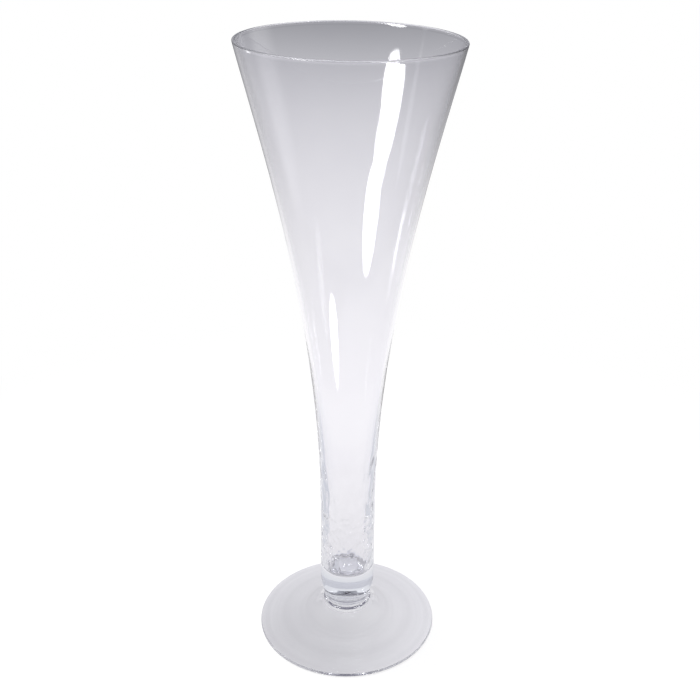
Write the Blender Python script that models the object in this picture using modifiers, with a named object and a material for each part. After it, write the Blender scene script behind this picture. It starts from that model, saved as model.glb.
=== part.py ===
"""Champagne glass vase: a tall flute of clear blown glass on a wide conical foot.

Three gathers of glass make it, joined hot: the bowl with the hollow stem drawn down from it, a collar bead
and the foot. Metres, +Z up, with the origin on the table under the middle of the foot.
"""

import math

import bpy

# Joints between the pieces
FUSE_GAP = 0.0003              # left between two faces that are fused on the real vase

# Foot
FOOT_DIAMETER = 0.1822
FOOT_HEIGHT = 0.0240           # table to the face that carries the collar
FOOT_EDGE_THICKNESS = 0.0040   # at the rounded rim of the foot
FOOT_CENTRE_THICKNESS = 0.0100  # glass left over the hollow underneath
STANDING_RING_WIDTH = 0.0075   # flat ring that meets the table
FOOT_RIM_SLOPE = 7.0           # degrees, near the rim
FOOT_RIM_EASE = 0.038          # how far in from the rim that slope is felt
FOOT_NECK_SLOPE = 34.0         # degrees, where the foot climbs to the collar
FOOT_NECK_EASE = 0.014         # how far out from the collar that slope is felt

# Collar
COLLAR_HEIGHT = 0.0076
COLLAR_SEAT_DIAMETER = 0.0464  # of the face on the foot
COLLAR_BULGE = 0.0013          # how far its side swells past that face
COLLAR_SWELL_HEIGHT = 0.0045   # where it is widest, from the foot

# Stem and bowl, heights from the stem's lower end
BOWL_HEIGHT = 0.5678           # stem end to lip
RIM_DIAMETER = 0.1936
STEM_DIAMETER = 0.0548
STEM_END_DIAMETER = 0.0488
STEM_END_TAPER = 0.0230        # height over which the stem draws in to its end
STEM_END_ROUND = 0.0042
FLARE_START = 0.1108           # where the stem begins to open
FLARE_EASE = 0.208             # how long the stem's upright line is felt
RIM_SLOPE = 13.2               # degrees from upright, at the lip
RIM_EASE = 0.082               # how far down from the lip that slope is felt
STEM_WALL = 0.0070
CONE_WALL = 0.0026
THINNING_START = 0.0652        # where the stem's thick wall begins to thin
THINNING_END = 0.3052          # where it has become the cone's wall
FLOOR_THICKNESS = 0.0368       # solid glass under the hollow
FLOOR_FILLET = 0.0030
NUB_DIAMETER = 0.0196          # raised button of glass in the middle of the floor
NUB_HEIGHT = 0.0122

# Smoothness
TURN_STEPS = 56
FLARE_POINTS = 18
FOOT_POINTS = 9
ARC_POINTS = 5
MERGE_DISTANCE = 0.00001       # points closer than this are one point

# Glass
GLASS_COLOR = (0.93, 0.94, 0.96, 1.0)
GLASS_IOR = 1.5
FOOT_ROUGHNESS = 0.03          # the foot keeps faint rings from shaping
BLOWN_ROUGHNESS = 0.02

COLLECTION_NAME = "champagne_glass_vase"

# Each face that is fused has one size on both of its pieces
GROOVE_RADIUS = STEM_END_DIAMETER / 2 - STEM_END_ROUND
COLLAR_SEAT_RADIUS = COLLAR_SEAT_DIAMETER / 2


def ease(start, end, value):
    """0 below start, 1 above end, and a smooth S between them."""
    share = min(max((value - start) / (end - start), 0.0), 1.0)
    return share * share * (3 - 2 * share)


def bezier(start, start_handle, end_handle, end, count):
    """Points (radius, height) along a cubic curve, both ends included."""
    points = []
    for step in range(count + 1):
        t = step / count
        weights = ((1 - t) ** 3, 3 * t * (1 - t) ** 2, 3 * t * t * (1 - t), t ** 3)
        corners = (start, start_handle, end_handle, end)
        points.append(tuple(sum(w * c[axis] for w, c in zip(weights, corners)) for axis in (0, 1)))
    return points


def arc(centre, radius_out, radius_up, start, end, count=ARC_POINTS):
    """Points along part of an ellipse, angles in degrees from +radius towards +height."""
    points = []
    for step in range(count + 1):
        angle = math.radians(start + (end - start) * step / count)
        points.append((centre[0] + radius_out * math.cos(angle), centre[1] + radius_up * math.sin(angle)))
    return points


def without_repeats(points):
    """The same outline with points that fall on the one before them left out."""
    kept = [points[0]]
    for point in points[1:]:
        if math.dist(point, kept[-1]) > MERGE_DISTANCE:
            kept.append(point)
    return kept


def wall_thickness(height):
    """Thickness of the bowl and stem: heavy in the stem and thin in the cone."""
    return STEM_WALL + (CONE_WALL - STEM_WALL) * ease(THINNING_START, THINNING_END, height)


def flare_line():
    """The outside of the bowl, from the top of the straight stem up to the lip."""
    stem_radius = STEM_DIAMETER / 2
    lip_height = BOWL_HEIGHT - CONE_WALL / 2
    rim_radius = RIM_DIAMETER / 2
    below_rim = (rim_radius - RIM_EASE * math.tan(math.radians(RIM_SLOPE)), lip_height - RIM_EASE)
    above_stem = (stem_radius, FLARE_START + FLARE_EASE)
    return bezier((stem_radius, FLARE_START), above_stem, below_rim, (rim_radius, lip_height), FLARE_POINTS)


def hollow_floor():
    """The bottom of the hollow, from the top of the nub out to the stem's inner wall."""
    nub_radius = NUB_DIAMETER / 2
    bore_radius = STEM_DIAMETER / 2 - STEM_WALL
    fillet = min(FLOOR_FILLET, bore_radius - nub_radius)
    nub = arc((0.0, FLOOR_THICKNESS), nub_radius, NUB_HEIGHT, 90, 0)
    corner = (bore_radius - fillet, FLOOR_THICKNESS + fillet)
    return nub + arc(corner, fillet, fillet, -90, 0)


def stem_end():
    """The outside of the stem's lower end, drawn in and rounded down to the face on the collar."""
    end_radius = STEM_END_DIAMETER / 2
    draw_in = STEM_DIAMETER / 2 - end_radius
    points = []
    for step in range(ARC_POINTS):
        height = STEM_END_TAPER + (STEM_END_ROUND - STEM_END_TAPER) * step / ARC_POINTS
        points.append((end_radius + draw_in * ease(STEM_END_ROUND, STEM_END_TAPER, height), height))
    corner = (GROOVE_RADIUS, STEM_END_ROUND)
    return points + arc(corner, STEM_END_ROUND, STEM_END_ROUND, 0, -90)


def bowl_outline():
    """Up the hollow from its floor, over the lip, and down the outside to the stem's end."""
    outside = flare_line()
    inside = [(radius - wall_thickness(height), height) for radius, height in outside]
    lip_radius = CONE_WALL / 2
    lip_centre = (RIM_DIAMETER / 2 - lip_radius, BOWL_HEIGHT - lip_radius)
    lip = arc(lip_centre, lip_radius, lip_radius, 180, 0, 2 * ARC_POINTS)
    outline = hollow_floor() + inside + lip + outside[::-1] + stem_end() + [(0.0, 0.0)]
    return without_repeats(outline)


def collar_outline():
    """A bead with flat ends, its side swelling out over the foot and rounding in to the groove."""
    widest = COLLAR_SEAT_RADIUS + COLLAR_BULGE
    rise = COLLAR_HEIGHT - COLLAR_SWELL_HEIGHT
    shoulder = arc((GROOVE_RADIUS, COLLAR_SWELL_HEIGHT), widest - GROOVE_RADIUS, rise, 90, 0)
    under = arc((COLLAR_SEAT_RADIUS, COLLAR_SWELL_HEIGHT), COLLAR_BULGE, COLLAR_SWELL_HEIGHT, 0, -90)
    return without_repeats([(0.0, COLLAR_HEIGHT)] + shoulder + under + [(0.0, 0.0)])


def foot_slope_line(outer, inner):
    """A sweep from a point near the rim in and up to a point near the collar."""
    rim_climb = math.tan(math.radians(FOOT_RIM_SLOPE))
    neck_climb = math.tan(math.radians(FOOT_NECK_SLOPE))
    outer_handle = (outer[0] - FOOT_RIM_EASE, outer[1] + FOOT_RIM_EASE * rim_climb)
    inner_handle = (inner[0] + FOOT_NECK_EASE, inner[1] - FOOT_NECK_EASE * neck_climb)
    return bezier(inner, inner_handle, outer_handle, outer, FOOT_POINTS)


def foot_outline():
    """From the face under the collar out over the cone, round the rim and back through the hollow below."""
    edge = FOOT_EDGE_THICKNESS / 2
    edge_centre = (FOOT_DIAMETER / 2 - edge, edge)
    ring_inside = (edge_centre[0] - STANDING_RING_WIDTH, 0.0)
    hollow_top = FOOT_HEIGHT - FOOT_CENTRE_THICKNESS
    top = foot_slope_line((edge_centre[0], FOOT_EDGE_THICKNESS), (COLLAR_SEAT_RADIUS, FOOT_HEIGHT))
    rim = arc(edge_centre, edge, edge, 90, -90, 2 * ARC_POINTS)
    below = foot_slope_line(ring_inside, (COLLAR_SEAT_RADIUS, hollow_top))
    outline = [(0.0, FOOT_HEIGHT)] + top + rim + below[::-1] + [(0.0, hollow_top)]
    return without_repeats(outline)


def clear_glass(name, roughness):
    """Colourless glass for one piece."""
    material = bpy.data.materials.new(name)
    material.use_nodes = True
    shader = material.node_tree.nodes["Principled BSDF"]
    shader.inputs["Base Color"].default_value = GLASS_COLOR
    shader.inputs["Metallic"].default_value = 0.0
    shader.inputs["Roughness"].default_value = roughness
    shader.inputs["Transmission Weight"].default_value = 1.0
    shader.inputs["IOR"].default_value = GLASS_IOR
    return material


def turned_piece(name, outline, height, material, axis, collection):
    """One piece of glass: its outline turned about the vase's axis."""
    mesh = bpy.data.meshes.new(name)
    points = [(radius, 0.0, up) for radius, up in outline]
    edges = [(index, index + 1) for index in range(len(points) - 1)]
    mesh.from_pydata(points, edges, [])
    mesh.materials.append(material)
    piece = bpy.data.objects.new(name, mesh)
    piece.parent = axis
    piece.location = (0.0, 0.0, height)
    turn = piece.modifiers.new("Turn", "SCREW")
    turn.axis = "Z"
    turn.angle = 2 * math.pi
    turn.steps = TURN_STEPS
    turn.render_steps = TURN_STEPS
    turn.use_merge_vertices = True
    turn.merge_threshold = MERGE_DISTANCE
    turn.use_smooth_shade = True
    collection.objects.link(piece)


for leftover in list(bpy.data.objects):
    bpy.data.objects.remove(leftover)

vase = bpy.data.collections.new(COLLECTION_NAME)
bpy.context.scene.collection.children.link(vase)
vase_axis = bpy.data.objects.new("vase_axis", None)
vase.objects.link(vase_axis)

collar_height = FOOT_HEIGHT + FUSE_GAP
bowl_height = collar_height + COLLAR_HEIGHT + FUSE_GAP
foot_glass = clear_glass("foot_glass", FOOT_ROUGHNESS)
collar_glass = clear_glass("collar_glass", BLOWN_ROUGHNESS)
bowl_glass = clear_glass("bowl_glass", BLOWN_ROUGHNESS)
turned_piece("foot", foot_outline(), 0.0, foot_glass, vase_axis, vase)
turned_piece("collar", collar_outline(), collar_height, collar_glass, vase_axis, vase)
turned_piece("bowl_and_stem", bowl_outline(), bowl_height, bowl_glass, vase_axis, vase)
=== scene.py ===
import math

import bmesh
import bpy
from mathutils import Matrix, Vector, noise


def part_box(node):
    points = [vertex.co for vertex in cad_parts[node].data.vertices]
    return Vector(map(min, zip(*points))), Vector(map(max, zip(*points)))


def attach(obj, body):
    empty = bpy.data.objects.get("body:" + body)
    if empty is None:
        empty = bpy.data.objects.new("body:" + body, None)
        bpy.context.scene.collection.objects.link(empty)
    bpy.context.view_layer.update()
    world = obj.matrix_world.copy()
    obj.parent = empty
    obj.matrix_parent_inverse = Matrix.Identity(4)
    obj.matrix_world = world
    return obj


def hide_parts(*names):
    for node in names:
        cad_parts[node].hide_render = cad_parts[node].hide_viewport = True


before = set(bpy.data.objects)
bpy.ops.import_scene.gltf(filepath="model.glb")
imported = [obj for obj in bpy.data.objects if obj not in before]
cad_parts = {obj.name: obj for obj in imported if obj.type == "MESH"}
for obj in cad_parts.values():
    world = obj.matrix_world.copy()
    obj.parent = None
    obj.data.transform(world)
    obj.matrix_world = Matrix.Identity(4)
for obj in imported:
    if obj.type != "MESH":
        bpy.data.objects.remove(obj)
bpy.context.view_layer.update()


# The foot
# A wide cone of clear glass, hollow underneath, shaped from one gather on the turning iron and fire-polished
# at its rim. It stands on a narrow flat ring, and its middle is fused hot to the collar above it.

foot_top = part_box("foot")[1]
collar_bottom, collar_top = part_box("collar")
foot_radius = foot_top.x
foot_joint = (foot_top.z + collar_bottom.z) / 2
foot_seat_radius = 0.0232  # of the face that carries the collar
foot_edge_thickness = 0.0040
foot_centre_thickness = 0.0100
standing_ring_width = 0.0075
foot_rim_slope = math.radians(7.0)
foot_rim_ease = 0.038  # how far in from the rim that slope is felt
foot_neck_slope = math.radians(34.0)
foot_neck_ease = 0.014  # how far out from the collar that slope is felt
foot_turn_steps, foot_slope_points, foot_rim_points = 448, 48, 20
shaping_ring_depth = 0.00016
shaping_ring_pitch = 0.0125
ring_mark = 0.05  # share by which the rings deepen the tint
ring_mark_scale = 85.0  # to the metre, outwards
foot_tint = ((0.944, 0.945, 0.982, 1.0), (0.962, 0.964, 0.998, 1.0))
foot_cloud_scale, foot_waviness = 30.0, 0.00002  # clouds to the metre, and the depth of the ripples
glass_ior = 1.5
cloud_band, cloud_detail = (0.35, 0.65), 2.0  # the noise values between which a cloud deepens
film_roughness = 0.02  # where the film is thickest
ripples_to_a_cloud, ripple_detail = 4, 1.0
turn_steps = 224
merge_distance, sliver_width = 1e-6, 1e-7


def sweep(start, start_pull, end_pull, end, count):
    """Points (radius, height) along a cubic curve that leaves and arrives as the two pulls say."""
    curve = []
    for step in range(count + 1):
        t = step / count
        weights = ((1 - t) ** 3, 3 * t * (1 - t) ** 2, 3 * t * t * (1 - t), t ** 3)
        corners = (start, start_pull, end_pull, end)
        curve.append(tuple(sum(w * c[axis] for w, c in zip(weights, corners)) for axis in (0, 1)))
    return curve


def rounding(centre, out, up, start, end, count):
    """Points along part of an ellipse, angles in degrees from outwards to upwards."""
    curve = []
    for step in range(count + 1):
        angle = math.radians(start + (end - start) * step / count)
        curve.append((centre[0] + out * math.cos(angle), centre[1] + up * math.sin(angle)))
    return curve


def turn_glass(outline, steps=turn_steps):
    """A closed body of glass: an outline turned about the vase's axis, its doubled points merged."""
    body = bmesh.new()
    points = [body.verts.new((radius, 0.0, height)) for radius, height in outline]
    for one, other in zip(points, points[1:]):
        body.edges.new((one, other))
    bmesh.ops.spin(body, geom=body.verts[:] + body.edges[:], cent=(0, 0, 0), axis=(0, 0, 1),
                   angle=2 * math.pi, steps=steps, use_merge=True)
    bmesh.ops.remove_doubles(body, verts=body.verts[:], dist=merge_distance)
    bmesh.ops.dissolve_degenerate(body, edges=body.edges[:], dist=sliver_width)
    bmesh.ops.recalc_face_normals(body, faces=body.faces[:])
    for face in body.faces:
        face.smooth = True
    return body


def fuse_face(body, height):
    """Gives the flat end at this height the fused finish, and keeps its border crisp."""
    for face in body.faces:
        if all(abs(corner.co.z - height) < merge_distance for corner in face.verts):
            face.material_index = 1
    for edge in body.edges:
        if len({face.material_index for face in edge.link_faces}) == 2:
            edge.smooth = False


def glass_piece(name, body, finishes):
    """The finished object of one body of glass, with its own glass first and the fused faces second."""
    mesh = bpy.data.meshes.new(name)
    body.to_mesh(mesh)
    body.free()
    for finish in finishes:
        mesh.materials.append(finish)
    piece = bpy.data.objects.new(name, mesh)
    bpy.context.scene.collection.objects.link(piece)
    return piece


def clear_glass(name, tint, cloud_scale, waviness):
    """Clear soda glass with cloudy tint, a faint film on it and the slight unevenness of hand work."""
    finish = bpy.data.materials.new(name)
    finish.use_nodes = True
    nodes, links = finish.node_tree.nodes, finish.node_tree.links
    glass = nodes["Principled BSDF"]
    glass.inputs["Transmission Weight"].default_value = 1.0
    glass.inputs["IOR"].default_value = glass_ior
    place = nodes.new("ShaderNodeTexCoord")
    cloud = nodes.new("ShaderNodeTexNoise")
    cloud.inputs["Scale"].default_value = cloud_scale
    cloud.inputs["Detail"].default_value = cloud_detail
    links.new(place.outputs["Object"], cloud.inputs["Vector"])
    colour = nodes.new("ShaderNodeValToRGB")
    for stop, position, stop_tint in zip(colour.color_ramp.elements, cloud_band, tint):
        stop.position = position
        stop.color = stop_tint
    links.new(cloud.outputs["Fac"], colour.inputs["Fac"])
    links.new(colour.outputs["Color"], glass.inputs["Base Color"])
    film = nodes.new("ShaderNodeMapRange")
    film.inputs["To Max"].default_value = film_roughness
    links.new(cloud.outputs["Fac"], film.inputs["Value"])
    links.new(film.outputs["Result"], glass.inputs["Roughness"])
    ripple = nodes.new("ShaderNodeTexNoise")
    ripple.inputs["Scale"].default_value = cloud_scale * ripples_to_a_cloud
    ripple.inputs["Detail"].default_value = ripple_detail
    links.new(place.outputs["Object"], ripple.inputs["Vector"])
    uneven = nodes.new("ShaderNodeBump")
    uneven.inputs["Strength"].default_value = 1.0
    uneven.inputs["Distance"].default_value = waviness
    links.new(ripple.outputs["Fac"], uneven.inputs["Height"])
    links.new(uneven.outputs["Normal"], glass.inputs["Normal"])
    return finish


def feed(tree, value, socket):
    """Gives a socket its value: a link from another socket, or a plain number, place or colour."""
    if isinstance(value, bpy.types.NodeSocket):
        tree.links.new(value, socket)
    else:
        socket.default_value = value


def measure(tree, operation, *places):
    """One Vector Math step on places: a number for a length or a distance, else another place."""
    step = tree.nodes.new("ShaderNodeVectorMath")
    step.operation = operation
    for place, socket in zip(places, step.inputs):
        feed(tree, place, socket)
    return step.outputs["Value" if operation in ("LENGTH", "DISTANCE") else "Vector"]


def foot_slope(outer, inner, count=foot_slope_points):
    """From a point near the collar down and out to a point near the rim, with faint shaping rings on it."""
    outer_pull = (outer[0] - foot_rim_ease, outer[1] + foot_rim_ease * math.tan(foot_rim_slope))
    inner_pull = (inner[0] + foot_neck_ease, inner[1] - foot_neck_ease * math.tan(foot_neck_slope))
    line = sweep(inner, inner_pull, outer_pull, outer, count)
    ringed = []
    for step, (radius, height) in enumerate(line):
        fade = math.sin(math.pi * step / count)
        ring = shaping_ring_depth * fade * math.sin(2 * math.pi * radius / shaping_ring_pitch)
        ringed.append((radius, height + ring))
    return ringed


# Where two pieces are fused hot there is no surface left to see, so light goes straight on
fused_glass = bpy.data.materials.new("fused_glass")
fused_glass.use_nodes = True
fused_nodes = fused_glass.node_tree.nodes
fused_nodes.remove(fused_nodes["Principled BSDF"])
clear_through = fused_nodes.new("ShaderNodeBsdfTransparent")
fused_surface = fused_nodes["Material Output"].inputs["Surface"]
fused_glass.node_tree.links.new(clear_through.outputs["BSDF"], fused_surface)

foot_edge = foot_edge_thickness / 2
foot_edge_centre = (foot_radius - foot_edge, foot_edge)
foot_hollow_top = foot_joint - foot_centre_thickness
ring_inside = (foot_edge_centre[0] - standing_ring_width, 0.0)
foot_upper = foot_slope((foot_edge_centre[0], foot_edge_thickness), (foot_seat_radius, foot_joint))
foot_rim = rounding(foot_edge_centre, foot_edge, foot_edge, 90, -90, foot_rim_points)
foot_lower = foot_slope(ring_inside, (foot_seat_radius, foot_hollow_top))
foot_outline = [(0.0, foot_joint)] + foot_upper + foot_rim + foot_lower[::-1] + [(0.0, foot_hollow_top)]
foot_body = turn_glass(foot_outline, foot_turn_steps)
fuse_face(foot_body, foot_joint)

# Faint rings of deeper tint lie round the middle of the foot
foot_glass = clear_glass("foot_glass", foot_tint, foot_cloud_scale, foot_waviness)
foot_tree = foot_glass.node_tree
foot_colour = foot_tree.nodes["Principled BSDF"].inputs["Base Color"]
clouded = foot_colour.links[0].from_socket
place = foot_tree.nodes.new("ShaderNodeTexCoord")
flat_place = measure(foot_tree, "MULTIPLY", place.outputs["Object"], (1.0, 1.0, 0.0))
rings = foot_tree.nodes.new("ShaderNodeTexNoise")
rings.noise_dimensions = "1D"
rings.inputs["Scale"].default_value = ring_mark_scale
rings.inputs["Detail"].default_value = cloud_detail
feed(foot_tree, measure(foot_tree, "LENGTH", flat_place), rings.inputs["W"])
mark = foot_tree.nodes.new("ShaderNodeMapRange")
mark.inputs["From Min"].default_value, mark.inputs["From Max"].default_value = cloud_band
mark.inputs["To Min"].default_value = 1 - ring_mark
feed(foot_tree, rings.outputs["Fac"], mark.inputs["Value"])
ringed = foot_tree.nodes.new("ShaderNodeVectorMath")
ringed.operation = "SCALE"
feed(foot_tree, clouded, ringed.inputs[0])
feed(foot_tree, mark.outputs["Result"], ringed.inputs["Scale"])
feed(foot_tree, ringed.outputs["Vector"], foot_colour)

foot = glass_piece("foot_glass_body", foot_body, (foot_glass, fused_glass))
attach(foot, "root")
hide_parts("foot")


# The collar
# A round bead of clear glass, dropped hot on the foot and pressed flat by the stem, so that its side swells.
# It is fused to the foot below and to the stem's end above.

bowl_bottom, bowl_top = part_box("bowl_and_stem")
stem_joint = (collar_top.z + bowl_bottom.z) / 2
collar_radius = 0.0245
collar_swell_height = 0.0045
groove_radius = 0.0202  # of the face between the collar and the stem
shoulder_points, under_points = 18, 14
collar_tint = ((0.930, 0.938, 0.962, 1.0), (0.952, 0.958, 0.976, 1.0))
collar_cloud_scale, collar_waviness = 60.0, 0.00001

swell = foot_joint + collar_swell_height
shoulder_out, shoulder_up = collar_radius - groove_radius, stem_joint - swell
under_out, under_up = collar_radius - foot_seat_radius, swell - foot_joint
collar_shoulder = rounding((groove_radius, swell), shoulder_out, shoulder_up, 90, 0, shoulder_points)
collar_under = rounding((foot_seat_radius, swell), under_out, under_up, 0, -90, under_points)
collar_side = collar_shoulder + collar_under[1:]
collar_body = turn_glass([(0.0, stem_joint)] + collar_side + [(0.0, foot_joint)])
fuse_face(collar_body, stem_joint)
fuse_face(collar_body, foot_joint)
collar_glass = clear_glass("collar_glass", collar_tint, collar_cloud_scale, collar_waviness)
collar = glass_piece("collar_bead", collar_body, (collar_glass, fused_glass))
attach(collar, "root")
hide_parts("collar")


# The bowl and the stem
# One gather of clear glass, blown to a tall cone and drawn down into a hollow stem with a heavy wall. The
# cone's wall is thin, its lip is cut and fire-polished, and the hollow ends on a floor with a raised nub.

rim_radius = bowl_top.x
lip_height = bowl_top.z
stem_radius = 0.0274
stem_end_radius = 0.0244
stem_end_taper = 0.0230  # height over which the stem draws in to its end
stem_end_round = stem_end_radius - groove_radius
flare_start = 0.1430  # where the stem begins to open
flare_ease = 0.208  # how long the stem's upright line is felt
rim_slope = math.radians(13.2)
rim_ease = 0.082  # how far down from the lip that slope is felt
stem_wall = 0.0070
cone_wall = 0.0026
thinning_start = 0.0974  # where the stem's thick wall begins to thin
thinning_end = 0.3374  # where it has become the cone's wall
floor_height = 0.0690  # top of the solid glass under the hollow
floor_fillet = 0.0030
nub_radius = 0.0098
nub_height = 0.0122
cone_rows, stem_rows, stem_end_rows = 110, 60, 24
nub_points, fillet_points, lip_points, corner_points = 24, 16, 28, 12
stem_ripple = 0.00055
ripple_around = 3.0
ripple_up = 95.0
fine_ripple = 0.5  # share of a second ripple, twice as fine
ripple_fade = 0.01  # height over the floor in which the ripple sets in
ripple_floor_margin, ripple_bore_share = 0.001, 0.7  # the ripple leaves out the nub and what is lower
bowl_tint = ((0.950, 0.946, 0.966, 1.0), (0.966, 0.963, 0.978, 1.0))
bowl_cloud_scale, bowl_waviness = 14.0, 0.00002
solid_tint = (0.865, 0.893, 0.930, 1.0)
solid_fade = 0.004  # height over and under the floor in which that tint sets in
lip_tint = ((0.58, 0.58, 0.61, 1.0), (0.64, 0.64, 0.67, 1.0))
lip_clear = 0.60  # share of light that the lip lets through


def ease(start, end, value):
    """0 below start, 1 above end, and a smooth S between them."""
    share = min(max((value - start) / (end - start), 0.0), 1.0)
    return share * share * (3 - 2 * share)


def wall_thickness(height):
    """Heavy in the stem and thin in the cone."""
    return stem_wall + (cone_wall - stem_wall) * ease(thinning_start, thinning_end, height)


def smooth_tone(tree, value, limits, first=0.0, last=1.0):
    """A tone that goes smoothly from the first to the last as a value goes from one limit to the other."""
    tone = tree.nodes.new("ShaderNodeMapRange")
    tone.interpolation_type = "SMOOTHSTEP"
    tone.inputs["From Min"].default_value, tone.inputs["From Max"].default_value = limits
    tone.inputs["To Min"].default_value, tone.inputs["To Max"].default_value = first, last
    feed(tree, value, tone.inputs["Value"])
    return tone.outputs["Result"]


def blend(tree, share, one, other, way="MIX"):
    """One colour where the share is 0, and the other, or both multiplied, where it is 1."""
    mix = tree.nodes.new("ShaderNodeMix")
    mix.data_type = "RGBA"
    mix.blend_type = way
    for name, value in (("Factor", share), ("A", one), ("B", other)):
        feed(tree, value, mix.inputs[name])
    return mix.outputs["Result"]


lip_round = cone_wall / 2
rim_point = (rim_radius, lip_height - lip_round)
rim_pull = (rim_radius - rim_ease * math.tan(rim_slope), rim_point[1] - rim_ease)
stem_pull = (stem_radius, flare_start + flare_ease)
cone_outside = sweep((stem_radius, flare_start), stem_pull, rim_pull, rim_point, cone_rows)
cone_inside = [(radius - wall_thickness(height), height) for radius, height in cone_outside]
bore_radius = stem_radius - stem_wall
fillet_top = floor_height + floor_fillet
stem_heights = [fillet_top + (flare_start - fillet_top) * step / stem_rows for step in range(1, stem_rows)]
stem_inside = [(stem_radius - wall_thickness(height), height) for height in stem_heights]
nub = rounding((0.0, floor_height), nub_radius, nub_height, 90, 0, nub_points)
fillet_centre = (bore_radius - floor_fillet, fillet_top)
fillet = rounding(fillet_centre, floor_fillet, floor_fillet, -90, 0, fillet_points)
lip = rounding((rim_radius - lip_round, rim_point[1]), lip_round, lip_round, 180, 0, lip_points)
stem_end = []
for step in range(stem_end_rows):
    height = stem_end_taper + (stem_end_round - stem_end_taper) * step / stem_end_rows
    drawn = ease(stem_end_round, stem_end_taper, height)
    stem_end.append((stem_end_radius + (stem_radius - stem_end_radius) * drawn, stem_joint + height))
corner_centre = (groove_radius, stem_joint + stem_end_round)
stem_corner = rounding(corner_centre, stem_end_round, stem_end_round, 0, -90, corner_points)
bowl_outline = (nub + fillet + stem_inside + cone_inside[:-1] + lip + cone_outside[-2::-1]
                + stem_end + stem_corner + [(0.0, stem_joint)])
bowl_body = turn_glass(bowl_outline)
fuse_face(bowl_body, stem_joint)
for face in bowl_body.faces:
    if face.calc_center_median().z > rim_point[1]:
        face.material_index = 2

# The inside of the stem is uneven, because no tool reached it while the glass was drawn down
for corner in bowl_body.verts:
    radius = math.hypot(corner.co.x, corner.co.y)
    height = corner.co.z
    inside = radius < stem_radius - stem_wall / 2 and height > floor_height - ripple_floor_margin
    if inside and radius > bore_radius * ripple_bore_share:
        above_stem = ease(flare_start, thinning_end, height)
        above_floor = ease(floor_height, floor_height + ripple_fade, height)
        depth = stem_ripple * (1 - above_stem) * above_floor
        around = corner.co.to_2d() / radius
        spot = Vector((around.x * ripple_around, around.y * ripple_around, height * ripple_up))
        wobble = noise.noise(spot) + fine_ripple * noise.noise(spot * 2)
        corner.co.xy += around * depth * wobble
bmesh.ops.recalc_face_normals(bowl_body, faces=bowl_body.faces[:])

# The solid glass under the hollow has a deeper tint, and the lip is darker and less clear
bowl_glass = clear_glass("bowl_glass", bowl_tint, bowl_cloud_scale, bowl_waviness)
bowl_tree = bowl_glass.node_tree
bowl_colour = bowl_tree.nodes["Principled BSDF"].inputs["Base Color"]
clouded = bowl_colour.links[0].from_socket
place = bowl_tree.nodes.new("ShaderNodeTexCoord")
parts = bowl_tree.nodes.new("ShaderNodeSeparateXYZ")
feed(bowl_tree, place.outputs["Object"], parts.inputs[0])
solid_band = (floor_height + solid_fade, floor_height - solid_fade)
solid = smooth_tone(bowl_tree, parts.outputs["Z"], solid_band)
feed(bowl_tree, blend(bowl_tree, solid, clouded, solid_tint, "MULTIPLY"), bowl_colour)
lip_glass = clear_glass("lip_glass", lip_tint, bowl_cloud_scale, bowl_waviness)
lip_glass.node_tree.nodes["Principled BSDF"].inputs["Transmission Weight"].default_value = lip_clear

bowl = glass_piece("bowl_and_stem_glass", bowl_body, (bowl_glass, fused_glass, lip_glass))
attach(bowl, "root")
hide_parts("bowl_and_stem")


# The floor
# A pale sheet under the vase, which the camera sees white with a faint shadow. The glass shows it as a pool
# of light, greyer far behind the vase, and darker to the sides where the glass mirrors it.

floor_radius, floor_sides = 9.0, 96
floor_drop = 0.0002  # keeps the sheet clear of the standing ring
under_vase = (0.0, 0.0, 0.0)
pool_reach = 5.2
pool_bright, pool_dim, aside_dim = 1.05, 0.28, 0.80  # at the vase, far behind it and far to its sides
pool_near_tint = (0.993, 0.986, 1.0, 1.0)
pool_far_tint = (0.925, 0.930, 1.0, 1.0)
back_sector = (0.95, 0.80)  # Y of a direction, from behind the vase to the sides
back_reach, back_lift = (4.0, 8.0), 0.35  # far behind, the pool takes this share of the sides' tone
soft_shade, soft_shade_reach = 0.18, 0.42
contact_shade, contact_shade_reach = 0.20, (0.02, 0.14)
contact_centre = (-0.04, -0.05, 0.0)  # a closer shade, under the foot
left_dim, right_dim = 0.90, 0.50  # in mirrored rays
side_dim_start, side_dim_end = 0.35, 1.0
side_shade_tint = (0.64, 0.665, 0.725, 1.0)  # in mirrored rays
side_shade_x, side_shade_y, side_shade_reach = 0.24, 0.12, 0.25
mirror_dim = 0.3  # where the last turn was a mirroring
mirror_place, mirror_reach = (0.0, 0.50, 0.0), (0.38, 1.0)  # the spot that stays light then
shadow_reach = (0.20, 0.75)
shadow_white, shadow_paper = 0.82, 0.25  # the paper's own light and its matt tone, at the vase
paper_colour = (0.8, 0.8, 0.8, 1.0)

sheet = bmesh.new()
bmesh.ops.create_circle(sheet, cap_ends=True, segments=floor_sides, radius=floor_radius,
                        matrix=Matrix.Translation((0, 0, -floor_drop)))
floor_mesh = bpy.data.meshes.new("floor")
sheet.to_mesh(floor_mesh)
sheet.free()
floor = bpy.data.objects.new("floor", floor_mesh)
bpy.context.scene.collection.objects.link(floor)

paper = bpy.data.materials.new("floor_paper")
paper.use_nodes = True
floor_mesh.materials.append(paper)
paper_tree = paper.node_tree
paper_tree.nodes.remove(paper_tree.nodes["Principled BSDF"])
floor_place = paper_tree.nodes.new("ShaderNodeTexCoord").outputs["Object"]


def combine(tree, operation, *tones):
    """One Math step on tones."""
    step = tree.nodes.new("ShaderNodeMath")
    step.operation = operation
    for tone, socket in zip(tones, step.inputs):
        feed(tree, tone, socket)
    return step.outputs["Value"]


def choose(tree, share, one, other):
    """One shader where the share is 0, the other where it is 1."""
    choice = tree.nodes.new("ShaderNodeMixShader")
    for source, socket in zip((share, one, other), choice.inputs):
        feed(tree, source, socket)
    return choice.outputs["Shader"]


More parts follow.
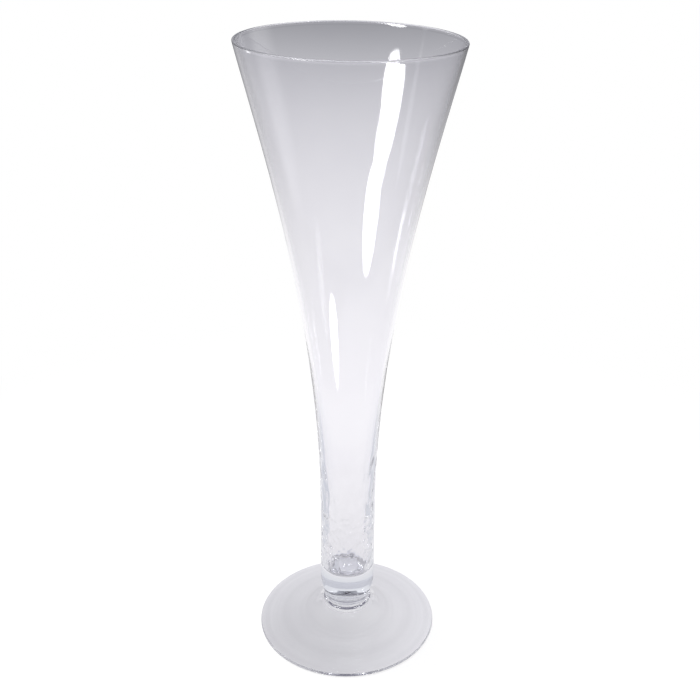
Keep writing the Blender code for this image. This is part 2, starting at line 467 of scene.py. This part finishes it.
def tone_by_distance(centre, reach, near_tone, far_tone):
    """A floor tone that goes smoothly from one value near a point to another far from it."""
    away = measure(paper_tree, "DISTANCE", floor_place, centre)
    return smooth_tone(paper_tree, away, reach, near_tone, far_tone)


def tone_between(share, one, other):
    """One floor tone where the share is 0, the other where it is 1."""
    mix = paper_tree.nodes.new("ShaderNodeMix")
    for name, value in (("Factor", share), ("A", one), ("B", other)):
        feed(paper_tree, value, mix.inputs[name])
    return mix.outputs["Result"]


def product(one, other):
    """Two floor tones multiplied."""
    return combine(paper_tree, "MULTIPLY", one, other)


# A ray that the glass has mirrored at least once is told from one that has only passed through it
ray = paper_tree.nodes.new("ShaderNodeLightPath")
bounced = combine(paper_tree, "MINIMUM", ray.outputs["Glossy Depth"], 1.0)
straight = combine(paper_tree, "SUBTRACT", 1.0, bounced)

# The pool of light, paler for straight rays except behind the vase, with the shade under the vase
heading = paper_tree.nodes.new("ShaderNodeSeparateXYZ")
feed(paper_tree, measure(paper_tree, "NORMALIZE", floor_place), heading.inputs[0])
aside = smooth_tone(paper_tree, heading.outputs["Y"], back_sector)
far_off = tone_by_distance(under_vase, back_reach, 0.0, back_lift)
beyond = combine(paper_tree, "MAXIMUM", aside, far_off)
pool_behind = tone_by_distance(under_vase, (0.0, pool_reach), pool_bright, pool_dim)
pool_aside = tone_by_distance(under_vase, (0.0, pool_reach), pool_bright, aside_dim)
pool = tone_between(product(beyond, straight), pool_behind, pool_aside)
shade = tone_by_distance(under_vase, (0.0, soft_shade_reach), 1 - soft_shade, 1.0)
contact = tone_by_distance(contact_centre, contact_shade_reach, 1 - contact_shade, 1.0)

# Its sides are dimmer for mirrored rays. A ray whose last turn was a mirroring sees all of it dim, but for a
# spot close behind the vase, so that the outline of the glass stays light.
across = paper_tree.nodes.new("ShaderNodeSeparateXYZ")
feed(paper_tree, floor_place, across.inputs[0])
left_tone = smooth_tone(paper_tree, across.outputs["X"], (-side_dim_start, -side_dim_end), 1.0, left_dim)
right_tone = smooth_tone(paper_tree, across.outputs["X"], (side_dim_start, side_dim_end), 1.0, right_dim)
sides = tone_between(bounced, 1.0, product(left_tone, right_tone))
mirror_tone = tone_by_distance(mirror_place, mirror_reach, 1.0, mirror_dim)
mirrored = tone_between(ray.outputs["Is Transmission Ray"], mirror_tone, 1.0)
lit = product(product(pool, shade), product(contact, sides))

# Its tint is bluer far off, and deeper on a spot at each side for mirrored rays
pool_tint = blend(paper_tree, tone_by_distance(under_vase, (0.0, pool_reach), 0.0, 1.0),
                  pool_near_tint, pool_far_tint)
left_spot = tone_by_distance((-side_shade_x, side_shade_y, 0.0), (0.0, side_shade_reach), 1.0, 0.0)
right_spot = tone_by_distance((side_shade_x, side_shade_y, 0.0), (0.0, side_shade_reach), 1.0, 0.0)
spots = combine(paper_tree, "ADD", left_spot, right_spot)
floor_tint = blend(paper_tree, product(spots, bounced), pool_tint, side_shade_tint, "MULTIPLY")
through_glass = paper_tree.nodes.new("ShaderNodeEmission")
feed(paper_tree, floor_tint, through_glass.inputs["Color"])
feed(paper_tree, product(lit, mirrored), through_glass.inputs["Strength"])

# The camera's own view is white paper, matt enough near the vase to take its shadow
white = paper_tree.nodes.new("ShaderNodeEmission")
feed(paper_tree, tone_by_distance(under_vase, shadow_reach, shadow_white, 1.0), white.inputs["Strength"])
matt = paper_tree.nodes.new("ShaderNodeBsdfDiffuse")
feed(paper_tree, tone_by_distance(under_vase, shadow_reach, shadow_paper, 0.0), matt.inputs["Color"])
seen_white = paper_tree.nodes.new("ShaderNodeAddShader")
feed(paper_tree, white.outputs["Emission"], seen_white.inputs[0])
feed(paper_tree, matt.outputs["BSDF"], seen_white.inputs[1])
plain = paper_tree.nodes.new("ShaderNodeBsdfDiffuse")
plain.inputs["Color"].default_value = paper_colour
by_camera = choose(paper_tree, ray.outputs["Is Camera Ray"], plain.outputs["BSDF"],
                   seen_white.outputs["Shader"])
by_way_of_glass = combine(paper_tree, "MAXIMUM", ray.outputs["Is Glossy Ray"],
                          ray.outputs["Is Transmission Ray"])
floor_look = choose(paper_tree, by_way_of_glass, by_camera, through_glass.outputs["Emission"])
feed(paper_tree, floor_look, paper_tree.nodes["Material Output"].inputs["Surface"])


# The light
# A tall window of soft boxes at the left, a low one at the right and a few dim panels, in a grey studio. They
# show only where the glass mirrors them, as streaks and bands, and light linking keeps them off the foot.

wall_tone = (0.25, 0.25, 0.28, 1.0)
side_tone = (0.36, 0.36, 0.39, 1.0)  # high up, to the left and right
aside_wall_tone = (0.74, 0.745, 0.80, 1.0)  # seen straight through the glass
ceiling_tone = (0.17, 0.165, 0.22, 1.0)
ceiling_rise = (0.20, 0.50)  # Z of a direction, from wall to ceiling
ceiling_sides = (0.75, 0.30)  # X of a direction, from the sides to the middle
backdrop_colour = (1.0, 1.0, 1.0, 1.0)
overhead_size, overhead_energy = 1.6, 60.0
overhead_place = (-0.4, 0.3, 2.4)

world = bpy.data.worlds.new("studio")
bpy.context.scene.world = world
world.use_nodes = True
room_tree = world.node_tree
place = room_tree.nodes.new("ShaderNodeTexCoord")
outward = room_tree.nodes.new("ShaderNodeSeparateXYZ")
feed(room_tree, place.outputs["Generated"], outward.inputs[0])
sideways = combine(room_tree, "ABSOLUTE", outward.outputs["X"])
overhead_tone = blend(room_tree, smooth_tone(room_tree, sideways, ceiling_sides), side_tone, ceiling_tone)
risen = smooth_tone(room_tree, outward.outputs["Z"], ceiling_rise)
room_tone = blend(room_tree, risen, wall_tone, overhead_tone)

# Straight through the glass the room is paler, and least so behind the vase; the camera sees it white
ray = room_tree.nodes.new("ShaderNodeLightPath")
passed = combine(room_tree, "SUBTRACT", ray.outputs["Is Transmission Ray"], ray.outputs["Glossy Depth"])
straight = combine(room_tree, "MAXIMUM", passed, 0.0)
lifted = combine(room_tree, "MAXIMUM", smooth_tone(room_tree, outward.outputs["Y"], back_sector), back_lift)
seen_aside = combine(room_tree, "MULTIPLY", lifted, straight)
room = room_tree.nodes["Background"]
feed(room_tree, blend(room_tree, seen_aside, room_tone, aside_wall_tone), room.inputs["Color"])
backdrop = room_tree.nodes.new("ShaderNodeBackground")
backdrop.inputs["Color"].default_value = backdrop_colour
room_look = choose(room_tree, ray.outputs["Is Camera Ray"], room.outputs["Background"],
                   backdrop.outputs["Background"])
feed(room_tree, room_look, room_tree.nodes["World Output"].inputs["Surface"])

above_the_foot = bpy.data.collections.new("above_the_foot")
above_the_foot.objects.link(collar)
above_the_foot.objects.link(bowl)


def soft_box(name, azimuth, spread, distance, low, high, brightness, lean=0.0, soft=0.25, square=False):
    """A soft box that faces the vase, oval or a square with round corners, and fades at its edge.
    Azimuth and spread are in degrees, from the camera's side towards +X; soft is the share that fades."""
    width = 2 * distance * math.tan(math.radians(spread / 2))
    lamp = bpy.data.lights.new(name, "AREA")
    lamp.shape = "RECTANGLE"
    lamp.size = width
    lamp.size_y = high - low
    lamp.energy = brightness * math.pi * width * (high - low)
    box = bpy.data.objects.new(name, lamp)
    side = math.radians(azimuth)
    box.location = (distance * math.sin(side), -distance * math.cos(side), (low + high) / 2)
    facing = Matrix.Rotation(side, 3, "Z") @ Matrix.Rotation(math.radians(90), 3, "X")
    box.rotation_euler = (facing @ Matrix.Rotation(math.radians(lean), 3, "Z")).to_euler()
    box.visible_camera = False
    box.visible_diffuse = False
    box.light_linking.receiver_collection = above_the_foot
    bpy.context.scene.collection.objects.link(box)
    lamp.use_nodes = True
    tree = lamp.node_tree
    place = tree.nodes.new("ShaderNodeTexCoord")
    place.object = box
    from_middle = measure(tree, "MULTIPLY", place.outputs["Object"], (2 / width, 2 / (high - low), 0.0))
    if square:
        from_middle = measure(tree, "MULTIPLY", from_middle, from_middle)
    fade = smooth_tone(tree, measure(tree, "LENGTH", from_middle), (1.0, 1.0 - soft))
    ray = tree.nodes.new("ShaderNodeLightPath")
    mirrored = combine(tree, "MINIMUM", fade, ray.outputs["Glossy Depth"])
    feed(tree, mirrored, tree.nodes["Emission"].inputs["Strength"])


soft_box("window_top", azimuth=-52.0, spread=18.5, distance=2.0, low=0.85, high=1.165, brightness=9.0,
         lean=6.0, soft=0.15, square=True)
soft_box("window_middle", azimuth=-48.6, spread=25.0, distance=2.0, low=0.60, high=1.05, brightness=9.0,
         lean=3.0, soft=0.15)
soft_box("window_foot", azimuth=-40.5, spread=31.0, distance=2.0, low=0.20, high=0.82, brightness=12.0,
         soft=0.15)
soft_box("low_soft_box", azimuth=45.0, spread=25.0, distance=0.6, low=0.05, high=0.29, brightness=12.0,
         soft=0.15)
soft_box("left_strip", azimuth=-85.0, spread=9.0, distance=2.0, low=0.50, high=1.05, brightness=0.8)
soft_box("back_left_strip", azimuth=-114.0, spread=6.0, distance=1.2, low=0.15, high=0.37, brightness=4.0)
soft_box("right_panel", azimuth=110.0, spread=50.0, distance=2.5, low=0.0, high=1.6, brightness=0.75,
         soft=0.8)

# One more from above, which the glass doesn't show, casts the shadow on the floor
overhead = bpy.data.lights.new("overhead", "AREA")
overhead.shape = "DISK"
overhead.size = overhead_size
overhead.energy = overhead_energy
overhead_box = bpy.data.objects.new("overhead", overhead)
overhead_box.location = overhead_place
overhead_box.visible_camera = False
overhead_box.visible_glossy = False
overhead_box.visible_transmission = False
bpy.context.scene.collection.objects.link(overhead_box)


# The camera
# A person's view from a little above the rim, looking down the vase. Its place and its lens were fitted to
# the outline of the vase, in a square picture whose middle isn't quite the lens's.

focal_pixels = 1036.7
image_pixels = 700.0
centre_pixel = 383.5
sensor_width = 36.0
eye = Vector((0.0, -0.8716, 0.7447))
yaw, pitch, roll = (math.radians(angle) for angle in (2.133, 26.112, 1.327))
glass_bounces, fused_bounces = 64, 16  # turns of a ray in the glass, and fused faces it may pass

lens = bpy.data.cameras.new("camera")
lens.sensor_width = sensor_width
lens.lens = focal_pixels / image_pixels * sensor_width
lens.shift_x = (image_pixels / 2 - centre_pixel) / image_pixels
camera = bpy.data.objects.new("camera", lens)
bpy.context.scene.collection.objects.link(camera)
ahead = Vector((math.sin(yaw) * math.cos(pitch), math.cos(yaw) * math.cos(pitch), -math.sin(pitch)))
level = Vector((math.cos(yaw), -math.sin(yaw), 0.0))
upright = level.cross(ahead)
right = level * math.cos(roll) + upright * math.sin(roll)
up = upright * math.cos(roll) - level * math.sin(roll)
turn = Matrix((right, up, -ahead)).transposed()
camera.matrix_world = Matrix.Translation(eye) @ turn.to_4x4()
bpy.context.scene.camera = camera
bpy.context.scene.view_settings.view_transform = "Standard"
bpy.context.scene.cycles.max_bounces = glass_bounces
bpy.context.scene.cycles.transmission_bounces = glass_bounces
bpy.context.scene.cycles.glossy_bounces = glass_bounces
bpy.context.scene.cycles.transparent_max_bounces = fused_bounces
